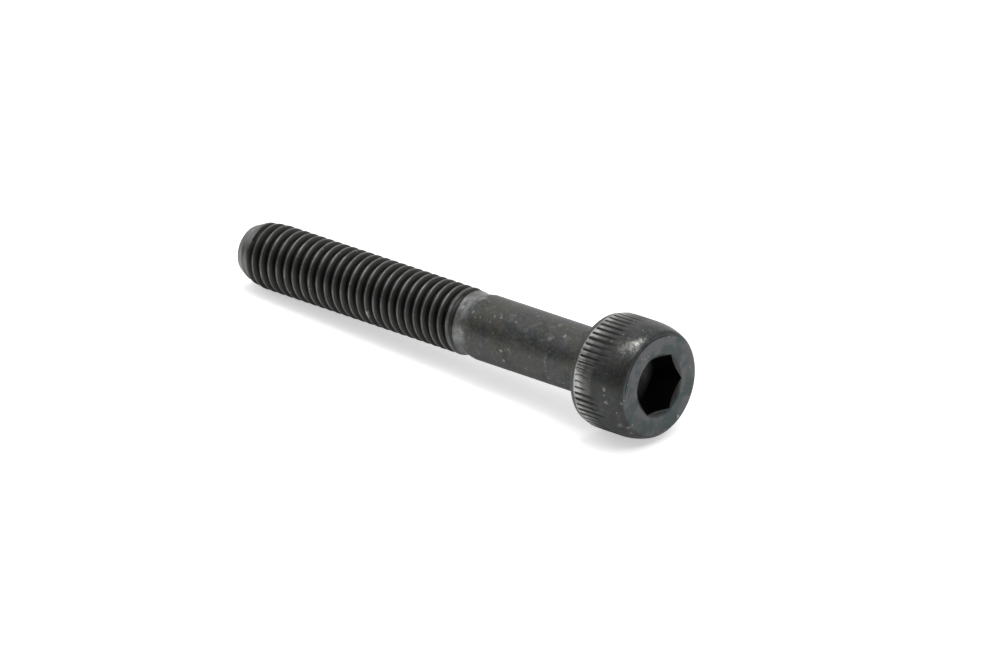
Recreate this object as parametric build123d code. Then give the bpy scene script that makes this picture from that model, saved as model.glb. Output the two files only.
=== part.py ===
from build123d import *
import os
from math import atan2, ceil, degrees, floor, radians, sqrt, tan

# Hexagon socket head cap screw, partly threaded, as one forged and rolled piece.
# It is modelled upright: the axis is Z, the seat under the head is at Z = 0,
# the head stands above it and the shank hangs below. Then it is laid down at rest.

# Thread, rolled with flat crests and flat roots
pitch = 0.8
crest_diameter = 4.93
flank_angle = 60.0
groove_mouth_share = 7 / 8
groove_root_share = 1 / 4
thread_length = 22.0
run_out_turns = 1.0
thread_phase = 75.0

# Tip, a bare cone and then a taper on which the thread grows to its full height
tip_diameter = 3.7
tip_cone_length = 1.0
tip_cone_diameter = 4.58
tip_taper_length = 2.23

# Shank
length = 35.0
shank_diameter = 4.88
neck_diameter = 4.6
neck_length = 0.3
neck_blend = 0.8
thread_shoulder = 0.55
underhead_fillet = 0.25

# Head
head_diameter = 8.6
head_height = 4.9
seat_diameter = 8.24
rim_height = 0.6
crown_start = 3.0
crown_drop = 0.28
bevel_height = 0.34
face_diameter = 7.34

# Knurl, straight flutes that fade out towards the face
flute_count = 57
flute_depth = 0.13
flute_angle = 90.0
flute_length = 2.3
flute_fade = 1.3
knurl_turn_share = 0.25

# Hexagon socket
across_flats = 4.09
socket_depth = 2.65
socket_turn = 24.0
drill_point_angle = 120.0
mouth_diameter = 4.84
mouth_angle = 120.0

# How far a cutting shape reaches past the surface that it cuts
overcut = 0.05

crest_radius = crest_diameter / 2
shank_radius = shank_diameter / 2
neck_radius = neck_diameter / 2
head_radius = head_diameter / 2
shoulder_radius = head_radius - crown_drop
face_radius = face_diameter / 2
grip_length = length - thread_length
flank_slope = tan(radians(flank_angle / 2))
mouth_half_width = pitch * groove_mouth_share / 2
root_half_width = pitch * groove_root_share / 2
thread_depth = (mouth_half_width - root_half_width) / flank_slope
crest_half_width = pitch / 2 - mouth_half_width


def head_blank():
    """The forged head: chamfered rim at the seat, soft crown, rounded bevel and flat face."""
    seat = (seat_diameter / 2, 0)
    rim = (head_radius, rim_height)
    side = (head_radius, crown_start)
    shoulder = (shoulder_radius, head_height - bevel_height)
    face = (face_radius, head_height)
    lower = Polyline((0, head_height), (0, 0), seat, rim, side)
    crown = TangentArc(side, shoulder, tangent=lower % 1)
    bevel = TangentArc(shoulder, face, tangent=crown % 1)
    outline = make_face([lower, crown, bevel, Line(face, (0, head_height))])
    return revolve(Plane.XZ * outline, Axis.Z)


def flute_cutter():
    """One knurl flute as a ridge with a sharp edge inwards, rising out of the head at its end."""
    half_angle_slope = tan(radians(flute_angle / 2))
    depth_outside_head = -overcut / 2

    def section(height, depth):
        reach = depth + overcut
        half_width = reach * half_angle_slope
        outside = head_radius + overcut
        return Plane.XY.offset(height) * make_face(
            Polyline(
                (outside - reach, 0),
                (outside, half_width),
                (outside, -half_width),
                close=True,
            )
        )

    start = section(-overcut, flute_depth)
    middle = section(flute_length, flute_depth)
    end = section(flute_length + flute_fade, depth_outside_head)
    return loft([start, middle, end], ruled=True)


def socket_cutter():
    """The hexagon with a drill point below it and a countersunk mouth above it."""
    corner_radius = across_flats / sqrt(3)
    bottom = head_height - socket_depth
    point_depth = across_flats / 2 / tan(radians(drill_point_angle / 2))
    hexagon = RegularPolygon(corner_radius, 6, rotation=socket_turn)
    prism = Pos(0, 0, bottom) * extrude(hexagon, socket_depth + overcut)
    point = Pos(0, 0, bottom) * Cone(
        0, across_flats / 2, point_depth, align=(Align.CENTER, Align.CENTER, Align.MAX)
    )
    mouth_slope = tan(radians(mouth_angle / 2))
    mouth_depth = mouth_diameter / 2 / mouth_slope
    mouth = Pos(0, 0, head_height + overcut) * Cone(
        0,
        mouth_diameter / 2 + overcut * mouth_slope,
        mouth_depth + overcut,
        align=(Align.CENTER, Align.CENTER, Align.MAX),
    )
    return prism + point + mouth


def shank_blank():
    """The turned shank: fillet, plain part, neck at the end of the thread, tapered tip."""
    fillet_top = (shank_radius + underhead_fillet, 0)
    fillet_end = (shank_radius, -underhead_fillet)
    crest_top = (crest_radius, -grip_length - thread_shoulder)
    neck_end = (neck_radius, -grip_length)
    neck_top = (neck_radius, -grip_length + neck_length)
    shank_end = (shank_radius, neck_top[1] + neck_blend)
    taper_top = (crest_radius, -length + tip_taper_length)
    cone_top = (tip_cone_diameter / 2, -length + tip_cone_length)
    tip = (tip_diameter / 2, -length)
    outline = make_face(
        [
            Line((0, overcut), (fillet_top[0], overcut)),
            Line((fillet_top[0], overcut), fillet_top),
            TangentArc(fillet_top, fillet_end, tangent=(-1, 0)),
            Polyline(fillet_end, shank_end, neck_top, neck_end, crest_top, taper_top, cone_top, tip),
            Polyline(tip, (0, -length), (0, overcut)),
        ]
    )
    return revolve(Plane.XZ * outline, Axis.Z)


def groove_section():
    """The thread groove in an axial plane, with its outer edge on the crest at the origin."""
    mouth = mouth_half_width + overcut * flank_slope
    return make_face(
        Polyline(
            (-thread_depth, -root_half_width),
            (-thread_depth, root_half_width),
            (overcut, mouth),
            (overcut, -mouth),
            close=True,
        )
    )


def groove_along(path):
    """The groove section swept along a right-hand helix about Z."""
    start = Plane(origin=path @ 0, x_dir=(1, 0, 0), z_dir=(0, -1, 0))
    return sweep(start * groove_section(), path=path, is_frenet=True)


def thread_cutters():
    """One turn of the groove repeated down to the tip, and a last turn that climbs out."""
    one_turn = groove_along(Helix(pitch, pitch, crest_radius))
    climb = run_out_turns * pitch
    full_end = -grip_length - climb
    turns = ceil((length + full_end) / pitch) + 1
    cutters = [Pos(0, 0, full_end - (turn + 1) * pitch) * one_turn for turn in range(turns)]
    rise_angle = degrees(atan2(thread_depth + overcut, climb))
    run_out = groove_along(Helix(pitch, climb, crest_radius, cone_angle=rise_angle))
    cutters.append(Pos(0, 0, full_end) * run_out)
    return [Rot(0, 0, thread_phase) * cutter for cutter in cutters]


def make_screw():
    """The whole screw upright, with the seat under the head at Z = 0."""
    knurl_turn = knurl_turn_share * 360 / flute_count
    flutes = PolarLocations(0, flute_count, start_angle=knurl_turn) * flute_cutter()
    head = head_blank() - flutes
    head -= socket_cutter()
    shank = shank_blank() - thread_cutters()
    return head + shank


def lay_down(screw):
    """Rest the screw on the head's rim and on the last full crest before the tip."""
    crest_below = grip_length + (thread_phase / 360 - 1 / 2) * pitch
    turns = floor((length - tip_taper_length - crest_below) / pitch)
    crest_contact = crest_below + turns * pitch + crest_half_width
    tilt = degrees(atan2(head_radius - crest_radius, rim_height + crest_contact))
    lying = Rot(0, 90 - tilt, 0) * screw
    box = lying.bounding_box()
    centre = box.center()
    return Pos(-centre.X, -centre.Y, -box.min.Z) * lying


screw = lay_down(make_screw())
screw.label = "cap_screw"
os.makedirs("parts", exist_ok=True)
export_step(screw, "parts/cap_screw.step")
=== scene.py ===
import math

import bmesh
import bpy
import numpy as np
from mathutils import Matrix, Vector


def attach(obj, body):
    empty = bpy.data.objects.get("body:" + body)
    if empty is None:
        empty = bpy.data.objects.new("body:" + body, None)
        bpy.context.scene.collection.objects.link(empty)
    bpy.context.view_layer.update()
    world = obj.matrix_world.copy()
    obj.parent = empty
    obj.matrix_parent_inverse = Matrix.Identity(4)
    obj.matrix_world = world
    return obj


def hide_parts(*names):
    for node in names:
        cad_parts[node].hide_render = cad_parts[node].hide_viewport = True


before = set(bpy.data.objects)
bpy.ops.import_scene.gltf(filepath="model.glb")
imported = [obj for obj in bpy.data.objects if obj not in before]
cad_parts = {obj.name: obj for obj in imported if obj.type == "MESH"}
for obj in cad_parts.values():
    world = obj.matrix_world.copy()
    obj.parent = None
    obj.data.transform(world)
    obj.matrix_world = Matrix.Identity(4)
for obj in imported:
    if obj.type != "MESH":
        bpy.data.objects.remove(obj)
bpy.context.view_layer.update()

# A hexagon socket head cap screw with a worn black finish. Its visible skin is built here, in the
# form and place of the solid, with finer facets and slightly rounded edges.

MM = 0.001
FULL_TURN = 2 * math.pi

# Sizes of the screw in millimetres, as in the part's source. The screw's own frame has the axis
# as Z, the seat under the head at Z = 0, the head above it and the shank below.
LENGTH = 35.0
GRIP = 13.0
SHANK_R = 2.44
FILLET = 0.25

# Tip, a bare cone and then a taper on which the thread grows to its full height
TIP_R = 1.85
TIP_CONE = 1.0
TIP_CONE_R = 2.29
TIP_TAPER = 2.23

# Thread, with flat crests and roots, and its groove's place round the axis at the grip's end
PITCH = 0.8
CREST_R = 2.465
FLANK_RISE = 1 / math.tan(math.radians(30))
CREST_HALF = PITCH / 16
ROOT_HALF = PITCH / 8
THREAD_DEPTH = (PITCH / 2 - CREST_HALF - ROOT_HALF) * FLANK_RISE
GROOVE_ANGLE = math.radians(75)
RUN_OUT_TURNS = 1.0

# Neck between thread and shank
THREAD_SHOULDER = 0.55
NECK_R = 2.3
NECK = 0.3
NECK_BLEND = 0.8

# Head, with a chamfered rim, a soft crown and a rounded bevel
HEAD_R = 4.3
HEAD_Z = 4.9
SEAT_R = 4.12
RIM_Z = 0.6
CROWN_Z = 3.0
CROWN_DROP = 0.28
SHOULDER_R = HEAD_R - CROWN_DROP
SHOULDER_Z = 4.56
FACE_R = 3.67

# Knurl of straight flutes
FLUTES = 57
FLUTE_TURN = 0.25
FLUTE_DEPTH = 0.13
FLUTE_START = 0.2
FLUTE_Z = 2.3
FLUTE_FADE = 1.3

# Hexagon socket, its countersunk mouth and its drill point
HEX_FLAT_R = 2.045
HEX_TURN = math.radians(24)
MOUTH_R = 2.42
MOUTH_SLOPE = math.tan(math.radians(30))
SOCKET_Z = 2.25
POINT_R = 2.015
POINT_DEPTH = 1.172

# The skin stays this far inside the solid, and further at the tip, where the solid's facets are
# coarser, so that it never leaves the solid's box
INSIDE = 0.001
SKIN_HEAD_R = HEAD_R - INSIDE
SKIN_FACE_R = FACE_R - INSIDE
SKIN_TIP_R = TIP_R - 5 * INSIDE

# How softly edges are rounded
ROOT_BLEND = 0.05
CREST_BLEND = 0.025
FLUTE_BLEND = 0.02
LAND_BLEND = 0.012
SHARP_ANGLE = math.radians(32)

# Points round the axis in each loop
THREAD_RING = 144
SHANK_RING = 192
FLUTE_RING = 10 * FLUTES
FACE_RING = 228

# Heights of the last row that follows the thread, the top of the neck and the last plain loop
THREAD_TOP = -12.4
NECK_TOP = -GRIP + NECK + NECK_BLEND
SHANK_TOP = -0.5

# The shank's outline from the tip to the fillet, before the thread is rolled: height and radius
BLANK = (
    (-LENGTH, SKIN_TIP_R),
    (-LENGTH + TIP_CONE, TIP_CONE_R),
    (-LENGTH + TIP_TAPER, CREST_R),
    (-GRIP - THREAD_SHOULDER, CREST_R),
    (-GRIP, NECK_R),
    (-GRIP + NECK, NECK_R),
    (NECK_TOP, SHANK_R),
    (-FILLET, SHANK_R),
)


def rest_tilt():
    """How far the axis rises towards the head. The screw lies on its rim and its last full crest."""
    first_crest = GRIP + (GROOVE_ANGLE / FULL_TURN - 1 / 2) * PITCH
    turns = math.floor((LENGTH - TIP_TAPER - first_crest) / PITCH)
    contact = first_crest + turns * PITCH + CREST_HALF
    return math.atan2(HEAD_R - CREST_R, RIM_Z + contact)


# Where the screw's own X, Y and Z point at rest, and the seat's centre, with the box's middle at 0
TILT = rest_tilt()
UP = math.sin(TILT)
ALONG = math.cos(TILT)
OWN_AXES = np.array([(UP, 0, -ALONG), (0, 1, 0), (ALONG, 0, UP)])
SEAT_X = ((LENGTH - HEAD_Z) * ALONG - (FACE_R - TIP_R) * UP) / 2
SEAT_AT = np.array([SEAT_X, 0, HEAD_R * ALONG - RIM_Z * UP])


def soft_min(a, b, blend):
    return 0.5 * (a + b - np.sqrt((a - b) ** 2 + blend * blend))


def soft_max(a, b, blend):
    return 0.5 * (a + b + np.sqrt((a - b) ** 2 + blend * blend))


def even(count, turn=0.0):
    """Angles spaced evenly round the axis."""
    return turn + FULL_TURN * np.arange(count) / count


def blank_radius(z):
    """The shank's radius from the tip to the fillet, before the thread is rolled."""
    heights, radii = zip(*BLANK)
    return np.interp(z, heights, radii)


def thread_radius(theta, z):
    """The thread: flat crests and roots, flanks at 60 degrees, and a groove that climbs out."""
    overcut = 0.05
    turns = (z + GRIP) / PITCH - (theta - GROOVE_ANGLE) / FULL_TURN
    nearest = np.round(turns)
    across = np.abs(turns - nearest) * PITCH
    along = nearest + (theta - GROOVE_ANGLE) / FULL_TURN
    lift = (THREAD_DEPTH + overcut) * np.clip(along / RUN_OUT_TURNS + 1, 0, 1)
    flank = soft_max((across - ROOT_HALF) * FLANK_RISE, 0, ROOT_BLEND)
    groove = CREST_R - THREAD_DEPTH + flank + lift
    return soft_min(groove, blank_radius(z), CREST_BLEND)


def rim_radius(z):
    """The head's radius at its chamfered rim and above it."""
    return np.interp(z, [0, RIM_Z], [SEAT_R, SKIN_HEAD_R])


def crown_radius():
    """The radius of the arc that the crown follows in profile."""
    height = SHOULDER_Z - CROWN_Z
    return (height**2 + CROWN_DROP**2) / (2 * CROWN_DROP)


def uneven_flutes():
    """Each flute's depth and how far its end is shifted, a little different from the next.

    On one side of the head, given in degrees, they are worn: shallower and shorter."""
    worn_side = 256
    worn_width = 15
    worn_share = 0.5
    worn_length = 1.1
    rng = np.random.default_rng(7)
    angle = (np.arange(FLUTES) + FLUTE_TURN) / FLUTES * 360
    wear = np.exp(-(((angle - worn_side) / worn_width) ** 2))
    scale = 1 + 0.1 * rng.standard_normal(FLUTES)
    shift = 0.15 * rng.standard_normal(FLUTES)
    return FLUTE_DEPTH * scale * (1 - worn_share * wear), shift - worn_length * wear


flute_depths, flute_shifts = uneven_flutes()


def head_radius(theta, z):
    """The head's side and crown with its flutes."""
    crown = crown_radius()
    side = rim_radius(z) - crown + np.sqrt(crown**2 - max(z - CROWN_Z, 0) ** 2)
    turns = theta / FULL_TURN * FLUTES - FLUTE_TURN
    number = np.round(turns).astype(int) % FLUTES
    across = np.abs(turns - np.round(turns)) * FULL_TURN / FLUTES * SKIN_HEAD_R
    depth = flute_depths[number] * np.clip((z - FLUTE_START) / (RIM_Z - FLUTE_START), 0, 1)
    # Towards its end a flute's bottom rises until it is past the side
    past_side = 0.03
    fade = np.clip((z - FLUTE_Z - flute_shifts[number]) / FLUTE_FADE, 0, 1)
    bottom = SKIN_HEAD_R - depth + fade * (depth + past_side)
    return soft_min(soft_max(bottom + across, bottom, FLUTE_BLEND), side, LAND_BLEND)


def hexagon_radius(theta):
    """The hexagon's distance from the axis in each direction."""
    sector = np.mod(theta - HEX_TURN, FULL_TURN / 6) - FULL_TURN / 12
    return HEX_FLAT_R / np.cos(sector)


def in_order(loop):
    """A loop's points in the order of their angles, with the first again at the end."""
    index, theta = loop
    order = np.argsort(theta, kind="stable")
    order = np.append(order, order[0])
    theta = theta[order]
    theta[-1] += FULL_TURN
    return index[order], theta


class Skin:
    """The screw's skin, made of loops of points round its axis, each joined to the one before."""

    def __init__(self):
        self.points = []
        self.faces = []
        self.last = None

    def add(self, theta, radius, z):
        """Adds points and returns their indices and angles."""
        theta = np.asarray(theta, float)
        block = np.stack(np.broadcast_arrays(theta, radius, z), -1)
        first = sum(len(earlier) for earlier in self.points)
        self.points.append(block)
        return first + np.arange(len(block)), np.mod(theta, FULL_TURN)

    def loop(self, theta, radius, z):
        """Adds a loop and joins it to the last."""
        new = self.add(theta, radius, z)
        if self.last is not None:
            self.join(self.last, new)
        self.last = new

    def stretch(self, theta, radius, z, faces, ends):
        """Adds a ready stretch of faces, joined to the last loop by its lower end."""
        index, theta = self.add(theta, radius, z)
        self.faces += [tuple(index[0] + corner for corner in face) for face in faces]
        lower, upper = [(index[end], theta[end]) for end in ends]
        self.join(self.last, lower)
        self.last = upper

    def join(self, a, b):
        """Faces between two loops, which may differ in their numbers of points."""
        (ia, ta), (ib, tb) = in_order(a), in_order(b)
        na, nb = len(ia) - 1, len(ib) - 1
        if na == nb and np.allclose(ta, tb):
            self.faces += zip(ia, ia[1:], ib[1:], ib)
            return
        ja = jb = 0
        while ja < na or jb < nb:
            if jb == nb or (ja < na and ta[ja + 1] <= tb[jb + 1]):
                self.faces.append((ia[ja], ia[ja + 1], ib[jb]))
                ja += 1
            else:
                self.faces.append((ia[ja], ib[jb + 1], ib[jb]))
                jb += 1

    def cap(self, z, at_tip=False):
        """A fan between the last loop and a point on the axis."""
        (centre,), _ = self.add([0.0], 0.0, z)
        ring, _ = in_order(self.last)
        for a, b in zip(ring, ring[1:]):
            self.faces.append((centre, b, a) if at_tip else (a, b, centre))


def spiral_grid(per_turn, rows, low, high):
    """Faces whose rows follow the thread, cut square at both heights.

    Rows are in pitches from the groove's middle. Returns the points' angles and heights, the
    faces, and the points along the lower and the upper cut."""
    spare = 2
    weld = 1e-6
    near = 1e-4
    first = math.floor((low + GRIP) / PITCH) - spare
    steps = per_turn * (math.ceil((high - low) / PITCH) + 2 * spare)
    step = np.arange(steps + 1)
    theta = FULL_TURN * step / per_turn + GROOVE_ANGLE
    middle = -GRIP + PITCH * (first + step / per_turn)
    z = middle[:, None] + PITCH * np.asarray(rows)
    bm = bmesh.new()
    grid = [[bm.verts.new((math.cos(t), math.sin(t), h)) for h in hs] for t, hs in zip(theta, z)]
    # The last row is joined to the first row one turn further on
    for i, column in enumerate(grid[:-per_turn]):
        column.append(grid[i + per_turn][0])
    for left, right in zip(grid, grid[1:]):
        for j in range(len(right) - 1):
            bm.faces.new((left[j], right[j], right[j + 1], left[j + 1]))
    for height, is_low in ((low, True), (high, False)):
        bmesh.ops.bisect_plane(
            bm,
            geom=bm.verts[:] + bm.edges[:] + bm.faces[:],
            dist=weld,
            plane_co=(0, 0, height),
            plane_no=(0, 0, 1),
            clear_inner=is_low,
            clear_outer=not is_low,
        )
    bm.verts.index_update()
    place = np.array([vert.co for vert in bm.verts])
    faces = [tuple(vert.index for vert in face.verts) for face in bm.faces]
    border = {vert.index for edge in bm.edges if edge.is_boundary for vert in edge.verts}
    bm.free()
    theta = np.mod(np.arctan2(place[:, 1], place[:, 0]), FULL_TURN)
    ends = [np.array([k for k in border if abs(place[k, 2] - h) < near]) for h in (low, high)]
    return theta, place[:, 2], faces, ends


def add_tip(skin):
    """The flat end, slightly dished."""
    dish = 0.05
    edge_r = 1.83
    ring = even(THREAD_RING)

    def end_z(r):
        return -LENGTH + dish * (1 - (r / edge_r) ** 4)

    inner_r = 0.35
    skin.loop(ring, inner_r, end_z(inner_r))
    skin.cap(end_z(0), at_tip=True)
    for r in (0.5, 1.0, 1.4, 1.7, edge_r):
        skin.loop(ring, r, end_z(r))


def add_thread(skin):
    """The thread from the tip to the neck, with rows close together at its crests and roots."""
    rows = [-0.5, -0.462, -0.43, -0.29, -0.14, -0.06, 0.06, 0.14, 0.29, 0.43, 0.462]
    theta, z, faces, ends = spiral_grid(THREAD_RING, rows, -LENGTH, THREAD_TOP)
    skin.stretch(theta, thread_radius(theta, z), z, faces, ends)


def add_shank(skin):
    """The rest of the neck, the plain shank and the fillet under the head."""
    ring = even(SHANK_RING)
    neck = np.linspace(THREAD_TOP + 0.1, NECK_TOP, 5)
    plain = np.arange(NECK_TOP + 0.2, SHANK_TOP, 0.25)
    for z in (*neck, *plain):
        skin.loop(ring, blank_radius(z), z)
    for a in np.linspace(0, math.pi / 2, 7):
        skin.loop(ring, SHANK_R + FILLET * (1 - math.cos(a)), -FILLET + FILLET * math.sin(a))


def add_head(skin):
    """The seat, the chamfered rim, the knurled side, the crown and the bevel.

    Loops are closer together at the rim than up the side."""
    ring = even(FLUTE_RING)
    skin.loop(even(SHANK_RING), 3.3, 0)
    skin.loop(ring, SEAT_R - 0.04, 0)
    rim = np.linspace(0.015, RIM_Z + 0.15, 12)
    side = np.arange(RIM_Z + 0.28, SHOULDER_Z, 0.125)
    for z in (*rim, *side):
        skin.loop(ring, head_radius(ring, z), z)
    # The bevel is an arc that runs on from the crown to the face
    start = math.asin((SHOULDER_Z - CROWN_Z) / crown_radius())
    run, rise = SHOULDER_R - SKIN_FACE_R, HEAD_Z - SHOULDER_Z
    end = 2 * math.atan2(run, rise) - start
    arc_r = math.hypot(run, rise) / (2 * math.sin((end - start) / 2))
    for a in np.linspace(start, end, 9):
        inward = arc_r * (math.cos(start) - math.cos(a))
        up = arc_r * (math.sin(a) - math.sin(start))
        skin.loop(ring, SHOULDER_R - inward, SHOULDER_Z + up)


def add_socket(skin):
    """The face, the countersunk mouth, the hexagon and the drill point."""
    ring = even(FACE_RING, HEX_TURN)
    for r in (3.6, 3.3, 3.0, 2.7, 2.5, MOUTH_R + 0.015):
        skin.loop(ring, r, HEAD_Z)
    skin.loop(ring, MOUTH_R - 0.01, HEAD_Z - 0.008)
    hexagon = hexagon_radius(ring)
    edge_z = HEAD_Z - MOUTH_SLOPE * (MOUTH_R - hexagon)
    skin.loop(ring, hexagon + 0.008, edge_z)
    skin.loop(ring, hexagon, edge_z - 0.01)
    for z in (4.5, 4.0, 3.5, 3.0, 2.5, SOCKET_Z):
        skin.loop(ring, hexagon, z)
    for r in (POINT_R, 1.5, 1.0, 0.5, 0.1):
        skin.loop(ring, r, SOCKET_Z - POINT_DEPTH * (1 - r / POINT_R))
    skin.cap(SOCKET_Z - POINT_DEPTH)


def store_places(mesh, own, radius, height):
    """What the finish reads at each point.

    That is its place on the screw, how deep it lies in a groove or in the socket, which sets
    the painted shade there, and how much its edge is worn by rubbing and brightened with a
    painted highlight. The last two run from 0 to 1."""
    in_thread = (height < THREAD_TOP) & (height > -LENGTH + 0.3)
    in_knurl = (height > 0.05) & (height < FLUTE_Z + FLUTE_FADE) & (radius > SEAT_R - 0.1)
    mouth_z = HEAD_Z - MOUTH_SLOPE * (MOUTH_R - radius)
    in_socket = (height > 0.5) & (radius < MOUTH_R - 0.05) & (height < mouth_z - 0.005)
    thread_depth = (blank_radius(height) - radius) / THREAD_DEPTH
    knurl_depth = (rim_radius(height) - radius) / FLUTE_DEPTH
    # Painted shade in the flutes and in the socket
    knurl_shade = 0.4 * knurl_depth
    socket_shade = 0.42
    # Crests are lightly rubbed all along, and the ridges between flutes where these start, and both
    # get a painted highlight
    crest_rub_and_sheen = 0.21
    near_start = np.interp(height, [0.35, 0.5, 0.85, 1.3, 2.2], [0, 1, 1, 0.3, 0])
    ridge_rub_and_sheen = near_start * (1 - 1.6 * knurl_depth)
    depth = np.select([in_thread, in_knurl, in_socket], [thread_depth, knurl_shade, socket_shade], 0.0)
    rub_and_sheen = np.select([in_thread, in_knurl], [crest_rub_and_sheen, ridge_rub_and_sheen], 0.0)
    mesh.attributes.new("own", "FLOAT_VECTOR", "POINT").data.foreach_set("vector", own.ravel())
    for name, values in (("depth", depth), ("rub_and_sheen", rub_and_sheen)):
        attribute = mesh.attributes.new(name, "FLOAT", "POINT")
        attribute.data.foreach_set("value", np.clip(values, 0, 1))


def make_screw():
    """The screw as one mesh, from the tip to the bottom of the socket, laid down at rest."""
    skin = Skin()
    for add_stretch in (add_tip, add_thread, add_shank, add_head, add_socket):
        add_stretch(skin)
    theta, radius, height = np.concatenate(skin.points).T
    own = np.stack([radius * np.cos(theta), radius * np.sin(theta), height], -1)
    lying = (SEAT_AT + own @ OWN_AXES) * MM
    mesh = bpy.data.meshes.new("screw")
    mesh.from_pydata(lying.tolist(), [], [tuple(map(int, face)) for face in skin.faces])
    mesh.validate()
    mesh.shade_smooth()
    mesh.set_sharp_from_angle(angle=SHARP_ANGLE)
    store_places(mesh, own, radius, height)
    screw = bpy.data.objects.new("screw", mesh)
    bpy.context.scene.collection.objects.link(screw)
    return screw


class Nodes:
    """Short calls that add nodes to one node tree. Most return the new node's output."""

    def __init__(self, tree):
        self.tree = tree

    def add(self, kind, **settings):
        node = self.tree.nodes.new("ShaderNode" + kind)
        for name, value in settings.items():
            setattr(node, name, value)
        return node

    def put(self, socket, value):
        """Sets a socket, or links it if the value is another node's output."""
        if isinstance(value, bpy.types.NodeSocket):
            self.tree.links.new(value, socket)
        else:
            socket.default_value = value

    def fill(self, node, values):
        for socket, value in zip(node.inputs, values):
            self.put(socket, value)

    def attribute(self, name, output="Fac"):
        return self.add("Attribute", attribute_name=name).outputs[output]

    def calc(self, operation, *values):
        node = self.add("Math", operation=operation)
        self.fill(node, values)
        return node.outputs[0]

    def vector(self, operation, *values, output="Value"):
        node = self.add("VectorMath", operation=operation)
        self.fill(node, values)
        return node.outputs[output]

    def spread(self, value, low, high, to_low=0.0, to_high=1.0):
        """A smooth step from one value to another."""
        node = self.add("MapRange", interpolation_type="SMOOTHSTEP")
        self.fill(node, (value, low, high, to_low, to_high))
        return node.outputs[0]

    def noise(self, vector, scale, detail, rough, shift=0.0):
        place = self.add("Mapping")
        self.put(place.inputs["Vector"], vector)
        self.put(place.inputs["Location"], (shift, 2 * shift, 3 * shift))
        node = self.add("TexNoise")
        self.put(node.inputs["Vector"], place.outputs[0])
        self.put(node.inputs["Scale"], scale)
        self.put(node.inputs["Detail"], detail)
        self.put(node.inputs["Roughness"], rough)
        return node.outputs["Fac"]

    def cloud(self, vector, scale, low, high, shift, to_low=0.0, to_high=1.0):
        """Soft patches, as large as 1 / scale."""
        noise = self.noise(vector, scale, detail=4.0, rough=0.6, shift=shift)
        return self.spread(noise, low, high, to_low, to_high)

    def specks(self, vector, scale, inner, outer):
        """Small round spots, one in each cell of 1 / scale."""
        node = self.add("TexVoronoi")
        self.put(node.inputs["Vector"], vector)
        self.put(node.inputs["Scale"], scale)
        return self.spread(node.outputs["Distance"], inner, outer, 1.0, 0.0)

    def mix(self, factor, a, b):
        """A mix of two colours. The node's sockets for colours are numbers 6 and 7, and 2."""
        node = self.add("Mix", data_type="RGBA")
        self.put(node.inputs["Factor"], factor)
        self.put(node.inputs[6], a)
        self.put(node.inputs[7], b)
        return node.outputs[2]


# Colours of the finish, as Blender's linear red, green and blue
OLIVE = (0.07, 0.07, 0.06, 1)
PURPLE_GREY = (0.073, 0.07, 0.075, 1)
BLUE_GREEN = (0.044, 0.052, 0.052, 1)
PALE_CLOUD = (0.115, 0.114, 0.11, 1)
PALE_GRAIN = (0.13, 0.13, 0.125, 1)
HEAD_BLACK = (0.034, 0.036, 0.035, 1)
FACE_GREY = (0.118, 0.12, 0.124, 1)
FACE_BLUE = (0.068, 0.083, 0.085, 1)
# Painted highlight on the neck
NECK_HIGHLIGHT_GREY = (0.15, 0.16, 0.157, 1)
# Painted shade in the thread's grooves, the flutes and the socket
FLANK_SHADE = (0.048, 0.049, 0.046, 1)
ROOT_SHADE = (0.017, 0.0175, 0.0165, 1)
# Painted shade line at the edge of the face
BEVEL_SHADE_BLACK = (0.02, 0.02, 0.021, 1)
# Rubbed steel, also a painted highlight on crests and ridges
RUBBED_STEEL_AND_SHEEN = (0.5, 0.5, 0.48, 1)
GROUND_STEEL = (0.17, 0.174, 0.168, 1)
# Chipped steel, also used for the painted highlight on the crown
CHIPS_AND_HIGHLIGHT_STEEL = (0.42, 0.42, 0.4, 1)

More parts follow.
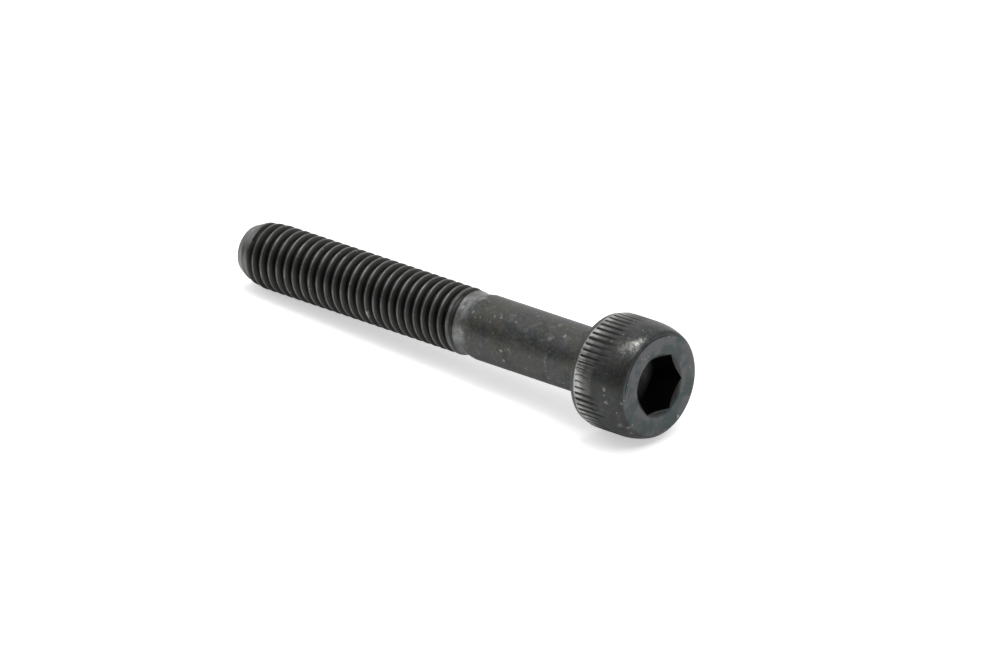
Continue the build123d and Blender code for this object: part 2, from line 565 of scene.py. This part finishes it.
# Single marks where the photo shows them: degrees round the axis, distance from it, height, size
# and strength
MARKS = (
    # Nicks across the thread's crests
    (286, CREST_R, -21.74, 0.3, 0.9),
    (293, CREST_R, -21.6, 0.2, 0.7),
    (242, CREST_R, -23.51, 0.22, 0.6),
    (242, CREST_R, -27.09, 0.16, 0.5),
    (266, CREST_R, -31.16, 0.14, 0.8),
    # Neck
    (216, NECK_R, -12.95, 0.26, 0.5),
    (222, SHANK_R, -11.74, 0.2, 0.5),
    (262, NECK_R, -12.3, 0.4, 0.4),
    (277, NECK_R, -12.3, 0.4, 0.35),
    (187, SHANK_R, -11.96, 0.5, 0.4),
    # Shank
    (214, SHANK_R, -9.22, 0.24, 0.5),
    (216, SHANK_R, -9.75, 0.15, 0.4),
    (214, SHANK_R, -7.75, 0.16, 0.3),
    (186, SHANK_R, -6.59, 0.16, 0.35),
    (191, SHANK_R, -4.28, 0.2, 0.35),
    (210, SHANK_R, -3.1, 0.18, 0.5),
    (221, SHANK_R, -4.11, 0.35, 0.3),
    (271, SHANK_R, -8.33, 0.17, 0.55),
    (290, SHANK_R, -8.22, 0.17, 0.55),
    (292, SHANK_R, -6.09, 0.2, 0.35),
    (296, SHANK_R, -4.02, 0.2, 0.45),
    (296, SHANK_R, -2.55, 0.16, 0.4),
    # A scratch round the shank
    *((angle, SHANK_R, -4.0, 0.13, 0.3) for angle in (256, 264, 272, 281)),
    # Side and bevel of the head
    (260, 4.3, 3.39, 0.22, 0.45),
    (266, 4.29, 3.45, 0.15, 0.3),
    (273, 4.26, 3.58, 0.2, 0.35),
    (271, 3.89, 4.71, 0.16, 0.4),
    (300, 4.11, 4.22, 0.35, 0.25),
    (305, 3.94, 4.65, 0.25, 0.3),
    (315, 4.01, 4.57, 0.25, 0.45),
    # A nick on the face
    (30, 3.56, HEAD_Z, 0.15, 1.0),
    # Painted highlight on the crown beside the face
    (216, 4.24, 3.8, 0.8, 0.25),
    (210, 4.15, 4.1, 0.7, 0.3),
    (205, 4.07, 4.35, 0.4, 0.45),
    (199, 3.94, 4.5, 0.3, 0.5),
    (193, 3.86, 4.6, 0.25, 0.4),
    # Socket
    (243, 1.97, 3.9, 0.16, 0.25),
    (297, 2.01, 4.3, 0.14, 0.2),
)


def plain_parts(nodes, own, z, grain):
    """Colour of shank, neck and head: clouds with a fine pale grain, and a painted highlight on the
    neck.
    """
    colour = nodes.mix(nodes.cloud(own, 0.42, 0.42, 0.58, shift=0.0), OLIVE, PURPLE_GREY)
    colour = nodes.mix(nodes.cloud(own, 0.5, 0.46, 0.62, shift=7.0), colour, BLUE_GREEN)
    colour = nodes.mix(nodes.cloud(own, 1.7, 0.5, 0.75, shift=3.0), colour, PALE_CLOUD)
    colour = nodes.mix(nodes.spread(grain, 0.45, 0.68, to_high=0.6), colour, PALE_GRAIN)
    # The head is a little darker on its side, and bluer on its face
    colour = nodes.mix(nodes.spread(z, 0.1, 0.5, to_high=0.5), colour, HEAD_BLACK)
    face = nodes.mix(nodes.cloud(own, 0.7, 0.4, 0.6, shift=9.0), FACE_GREY, FACE_BLUE)
    colour = nodes.mix(nodes.spread(z, 4.78, 4.89, to_high=0.9), colour, face)
    # The neck is painted lighter in patches, a painted highlight where its cone catches the light
    neck = nodes.calc("MULTIPLY", nodes.spread(z, -13.4, -13.0), nodes.spread(z, -11.7, -12.3))
    lit_neck_patches = nodes.calc("MULTIPLY", neck, nodes.cloud(own, 1.3, 0.38, 0.58, shift=11.0))
    return nodes.mix(lit_neck_patches, colour, NECK_HIGHLIGHT_GREY)


def bevel_shade_line(nodes, flat, out, z):
    """Where a painted shade line runs between the face and its bevel, on one side."""
    line_r = 3.64
    shaded_side = (-0.85, -0.53, 0)
    gap = nodes.calc("ABSOLUTE", nodes.calc("SUBTRACT", out, line_r))
    side = nodes.vector("DOT_PRODUCT", flat, shaded_side)
    line = nodes.spread(gap, 0.02, 0.1, 0.8, 0.0)
    line = nodes.calc("MULTIPLY", line, nodes.spread(side, 1.6, 2.8))
    return nodes.calc("MULTIPLY", line, nodes.spread(z, 4.7, 4.8))


def chips_and_marks(nodes, own, depth):
    """Where steel shows, and a painted highlight: small chips in some areas, and the single marks,
    with ragged edges.
    """
    chips_and_highlight = nodes.specks(own, 1.6, 0.05, 0.12)
    chips_and_highlight = nodes.calc("MULTIPLY", chips_and_highlight, nodes.cloud(own, 0.5, 0.42, 0.52, shift=2.0))
    chips_and_highlight = nodes.calc("MULTIPLY", chips_and_highlight, nodes.spread(depth, 0.1, 0.4, 0.45, 0.0))
    ragged = nodes.noise(own, 5.0, detail=3.0, rough=0.65, shift=13.0)
    ragged = nodes.calc("MULTIPLY_ADD", ragged, 2.0, -1.0)
    for degrees, radius, height, size, strength in MARKS:
        angle = math.radians(degrees)
        spot = (radius * math.cos(angle), radius * math.sin(angle), height)
        gap = nodes.vector("DISTANCE", own, spot)
        reach = nodes.calc("MULTIPLY_ADD", ragged, size * 1.6, gap)
        mark = nodes.spread(reach, 0.0, size * 0.9, strength, 0.0)
        chips_and_highlight = nodes.calc("MAXIMUM", chips_and_highlight, mark)
    return chips_and_highlight


def roughness(nodes, grain, ridges, z):
    """Uneven, and smoother where ridges are worn by rubbing, and on the crown."""
    rough = nodes.spread(grain, 0.3, 0.7, 0.34, 0.5)
    rough = nodes.calc("SUBTRACT", rough, nodes.calc("MULTIPLY", ridges, 0.2))
    crown = nodes.calc("MULTIPLY", nodes.spread(z, 3.2, 3.8), nodes.spread(z, 4.85, 4.7))
    return nodes.calc("SUBTRACT", rough, nodes.calc("MULTIPLY", crown, 0.08))


def black_oxide():
    """Black oxide on steel: cloudy on plain parts, painted shade near black in grooves, edges worn
    by rubbing with a painted highlight on them, and painted highlights on the neck and the crown.
    """
    material = bpy.data.materials.new("black_oxide")
    material.use_nodes = True
    nodes = Nodes(material.node_tree)
    shader = nodes.tree.nodes["Principled BSDF"]
    own = nodes.attribute("own", "Vector")
    depth = nodes.attribute("depth")
    split = nodes.add("SeparateXYZ")
    nodes.put(split.inputs[0], own)
    z = split.outputs["Z"]
    flat = nodes.vector("MULTIPLY", own, (1, 1, 0), output="Vector")
    out = nodes.vector("LENGTH", flat)
    grain = nodes.noise(own, 5.0, detail=5.0, rough=0.7)

    # Painted shade: darker down the flanks and in the flutes, and near black at the root and in the
    # socket
    colour = plain_parts(nodes, own, z, grain)
    colour = nodes.mix(nodes.spread(depth, 0.02, 0.25), colour, FLANK_SHADE)
    colour = nodes.mix(nodes.spread(depth, 0.3, 0.9), colour, ROOT_SHADE)
    # Rubbed crests and ridges with a painted highlight on them, more in some places than in others
    top = nodes.spread(depth, 0.03, 0.17, 1.0, 0.0)
    ridges = nodes.calc("MULTIPLY", nodes.attribute("rub_and_sheen"), top)
    patchy = nodes.cloud(own, 0.9, 0.3, 0.7, shift=5.0, to_low=0.25)
    colour = nodes.mix(nodes.calc("MULTIPLY", ridges, patchy), colour, RUBBED_STEEL_AND_SHEEN)
    # The tip's cone has been ground
    near_tip = nodes.spread(z, -33.95, -34.15, to_high=0.9)
    cone = nodes.calc("MULTIPLY", near_tip, nodes.spread(out, 1.6, 1.85))
    colour = nodes.mix(cone, colour, GROUND_STEEL)
    # A painted shade line between the face and its bevel
    colour = nodes.mix(bevel_shade_line(nodes, flat, out, z), colour, BEVEL_SHADE_BLACK)
    # Chips and marks show steel; the marks on the crown beside the face are a painted highlight
    colour = nodes.mix(chips_and_marks(nodes, own, depth), colour, CHIPS_AND_HIGHLIGHT_STEEL)

    nodes.put(shader.inputs["Base Color"], colour)
    nodes.put(shader.inputs["Metallic"], 1.0)
    nodes.put(shader.inputs["Roughness"], roughness(nodes, grain, ridges, z))
    bump = nodes.add("Bump")
    nodes.put(bump.inputs["Strength"], 0.4)
    nodes.put(bump.inputs["Distance"], 0.02 * MM)
    nodes.put(bump.inputs["Height"], nodes.noise(own, 5.0, detail=5.0, rough=0.65))
    nodes.put(shader.inputs["Normal"], bump.outputs[0])
    return material


def paper():
    """Pale paper that the camera sees white, and that metal and glass see a little less bright."""
    material = bpy.data.materials.new("paper")
    material.use_nodes = True
    nodes = Nodes(material.node_tree)
    shader = nodes.tree.nodes["Principled BSDF"]
    nodes.put(shader.inputs["Base Color"], (0.85, 0.85, 0.85, 1))
    nodes.put(shader.inputs["Roughness"], 0.9)
    nodes.put(shader.inputs["Specular IOR Level"], 0.1)
    ray = nodes.add("LightPath")
    seen = nodes.calc("MULTIPLY", ray.outputs["Is Camera Ray"], 0.5)
    bounced = nodes.calc("MAXIMUM", ray.outputs["Is Glossy Ray"], ray.outputs["Is Transmission Ray"])
    glow = nodes.add("Emission")
    nodes.put(glow.inputs["Strength"], nodes.calc("MULTIPLY_ADD", bounced, 0.14, seen))
    both = nodes.add("AddShader")
    nodes.put(both.inputs[0], shader.outputs[0])
    nodes.put(both.inputs[1], glow.outputs[0])
    nodes.put(nodes.tree.nodes["Material Output"].inputs["Surface"], both.outputs[0])
    return material


def studio():
    """A soft box overhead and a pale wall behind, in a dimmer room."""
    brightest = (-0.3, 0.32, 0.9)
    world = bpy.data.worlds.new("studio")
    world.use_nodes = True
    nodes = Nodes(world.node_tree)
    background = nodes.tree.nodes["Background"]
    nodes.put(background.inputs["Color"], (1, 1, 1, 1))
    direction = nodes.add("TexCoord")
    towards = nodes.vector("DOT_PRODUCT", direction.outputs["Generated"], brightest)
    nodes.put(background.inputs["Strength"], nodes.spread(towards, 0.15, 0.8, 0.32, 1.15))
    return world


def add_lamp(name, at, diameter, watts):
    """A round soft lamp that points at the screw, sized and placed in metres."""
    light = bpy.data.lights.new(name, "AREA")
    light.shape = "DISK"
    light.size = diameter
    light.energy = watts
    lamp = bpy.data.objects.new(name, light)
    lamp.location = at
    lamp.rotation_mode = "QUATERNION"
    lamp.rotation_quaternion = (-Vector(at)).to_track_quat("-Z", "Y")
    bpy.context.scene.collection.objects.link(lamp)


def add_camera():
    """The photograph's viewing angle, from a long way off, in metres."""
    azimuth, elevation = math.radians(42.8791), math.radians(25.6995)
    distance = 1.6
    aim = Vector((1.002, 3.546, 1.2)) * MM
    level = math.cos(elevation)
    back = Vector((math.sin(azimuth) * level, -math.cos(azimuth) * level, math.sin(elevation)))
    camera = bpy.data.objects.new("camera", bpy.data.cameras.new("camera"))
    camera.location = aim + distance * back
    camera.rotation_mode = "QUATERNION"
    camera.rotation_quaternion = (-back).to_track_quat("-Z", "Y")
    camera.data.lens = 798.476
    camera.data.clip_start = 0.05
    camera.data.clip_end = 10.0
    bpy.context.scene.collection.objects.link(camera)
    return camera


screw = make_screw()
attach(screw, "root")
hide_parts("cap_screw")
screw.data.materials.append(black_oxide())

bpy.ops.mesh.primitive_plane_add(size=4, location=(0, 0, 0))
floor = bpy.context.object
floor.name = "floor"
floor.data.materials.append(paper())

bpy.context.scene.world = studio()
add_lamp("top_light", (-0.02, 0.0, 0.6), diameter=0.2, watts=0.7)
add_lamp("side_light", (0.3, -0.05, 0.5), diameter=0.25, watts=0.6)
bpy.context.scene.camera = add_camera()
bpy.context.scene.view_settings.view_transform = "Standard"
